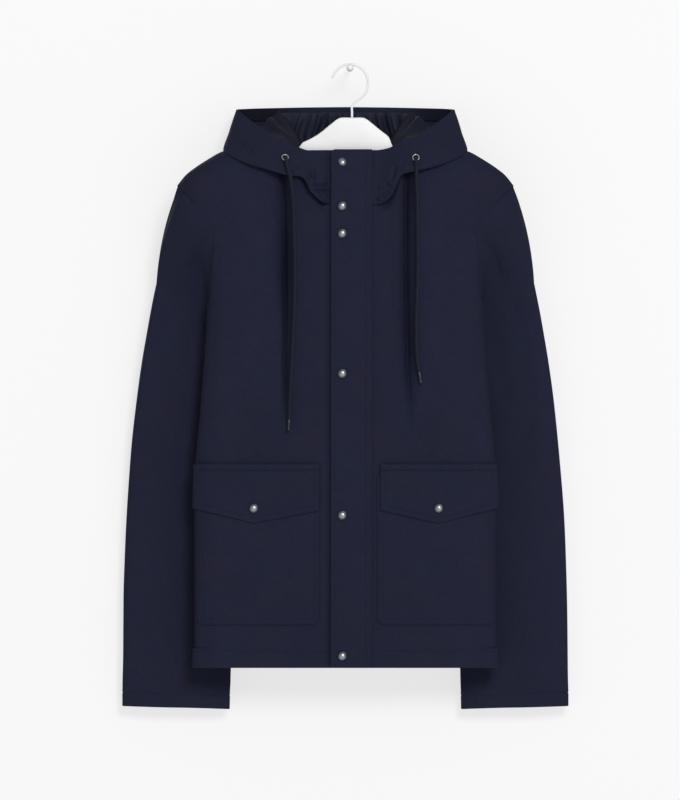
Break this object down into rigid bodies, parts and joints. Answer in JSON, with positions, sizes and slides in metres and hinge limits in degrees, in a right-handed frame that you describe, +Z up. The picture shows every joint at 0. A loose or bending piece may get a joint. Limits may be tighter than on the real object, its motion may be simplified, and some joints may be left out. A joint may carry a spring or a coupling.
{
  "type": "hooded nylon jacket on a clothes hanger and wall peg",
  "caption": "Hooded nylon jacket hanging closed on a clothes hanger from a short wall peg, with a snap placket, flapped patch pockets and a drawstring hood.",
  "frame": {"origin": "middle of the wall peg's flat back face, which the wall holds", "axes": "+Z up, +Y into the wall, so the jacket's front faces -Y and the wearer's left side is at +X"},
  "size_m": [0.5812, 0.1245, 0.839],
  "materials": {
    "shell": "matte navy nylon with a fine irregular weave",
    "satin": "navy lining satin, soft sheen",
    "charcoal": "charcoal lining, smooth",
    "cord": "braided polyester cord",
    "snap": "aged gunmetal",
    "eyelet": "nickel plated",
    "tip": "dark metal",
    "hanger": "smooth white plastic",
    "wire": "white lacquer"
  },
  "bodies": {
    "root": {"front_left": "shell", "front_right": "shell", "back": "shell", "hem_front_left": "shell", "hem_front_right": "shell", "hem_back": "shell", "sleeve_left": "shell", "sleeve_right": "shell", "cuff_left": "shell", "cuff_right": "shell", "hood_side_left": "shell", "hood_side_right": "shell", "hood_centre": "shell", "hood_facing": "shell", "lining_centre": "satin", "lining_left": "charcoal", "lining_right": "charcoal", "placket": "shell", "pocket_left": "shell", "pocket_right": "shell", "flap_left": "shell", "flap_right": "shell", "snap_1": "snap", "snap_2": "snap", "snap_3": "snap", "snap_4": "snap", "snap_5": "snap", "snap_6": "snap", "snap_left": "snap", "snap_right": "snap", "eyelet_left": "eyelet", "eyelet_right": "eyelet", "cord_left": "cord", "cord_right": "cord", "tip_left": "tip", "tip_right": "tip", "hanger": "hanger", "hook": "wire", "peg": "wire"}
  },
  "joints": []
}
